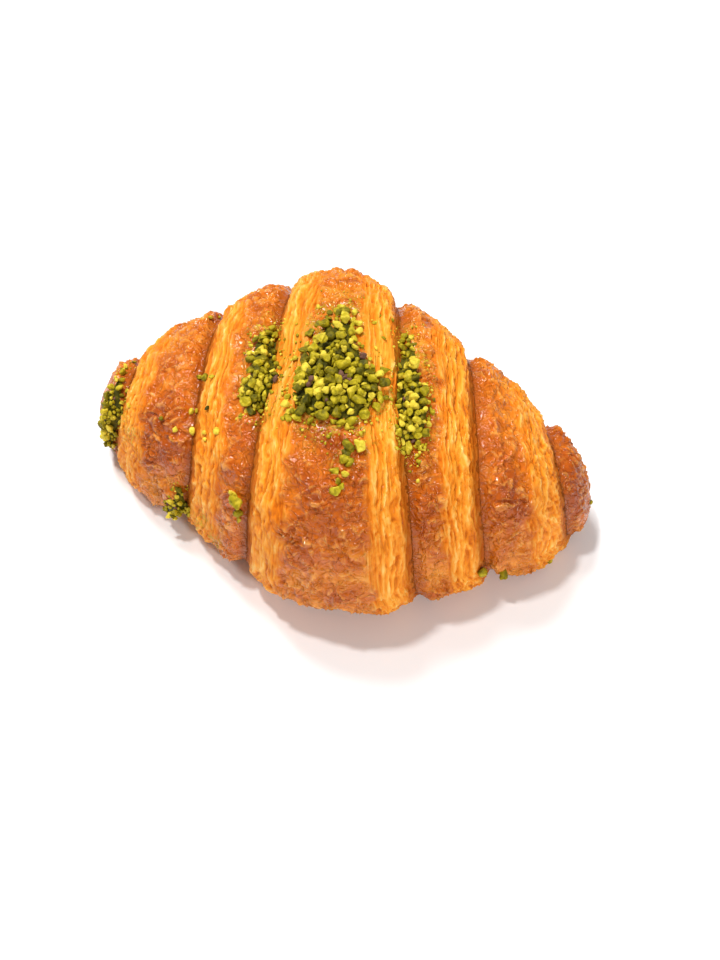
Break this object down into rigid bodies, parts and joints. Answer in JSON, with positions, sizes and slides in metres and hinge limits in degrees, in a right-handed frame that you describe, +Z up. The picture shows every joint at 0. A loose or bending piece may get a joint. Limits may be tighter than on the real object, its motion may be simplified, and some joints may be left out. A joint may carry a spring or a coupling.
{
  "type": "croissant",
  "caption": "Plump straight croissant rolled in stepped wraps with flaky seams, sprinkled with chopped pistachio in small heaps; flat baked base to rest on.",
  "frame": {"origin": "middle of the flat base, under the middle of the overall box", "axes": "+X along the roll towards the right tip as seen from the front, +Y towards the back, +Z up"},
  "size_m": [0.1664, 0.1103, 0.0792],
  "materials": {
    "baked_crust": "egg-washed, baked laminated dough: glossy amber-brown wrinkled skin, pale golden flaky cut edges",
    "pistachio": "chopped nut, moist satin, yellow-green to olive with a few dark skins"
  },
  "bodies": {
    "root": {"pastry": "baked_crust", "pistachio_crown": "pistachio", "pistachio_left_groove": "pistachio", "pistachio_right_groove": "pistachio", "pistachio_left_end": "pistachio", "pistachio_left_base": "pistachio"}
  },
  "joints": []
}
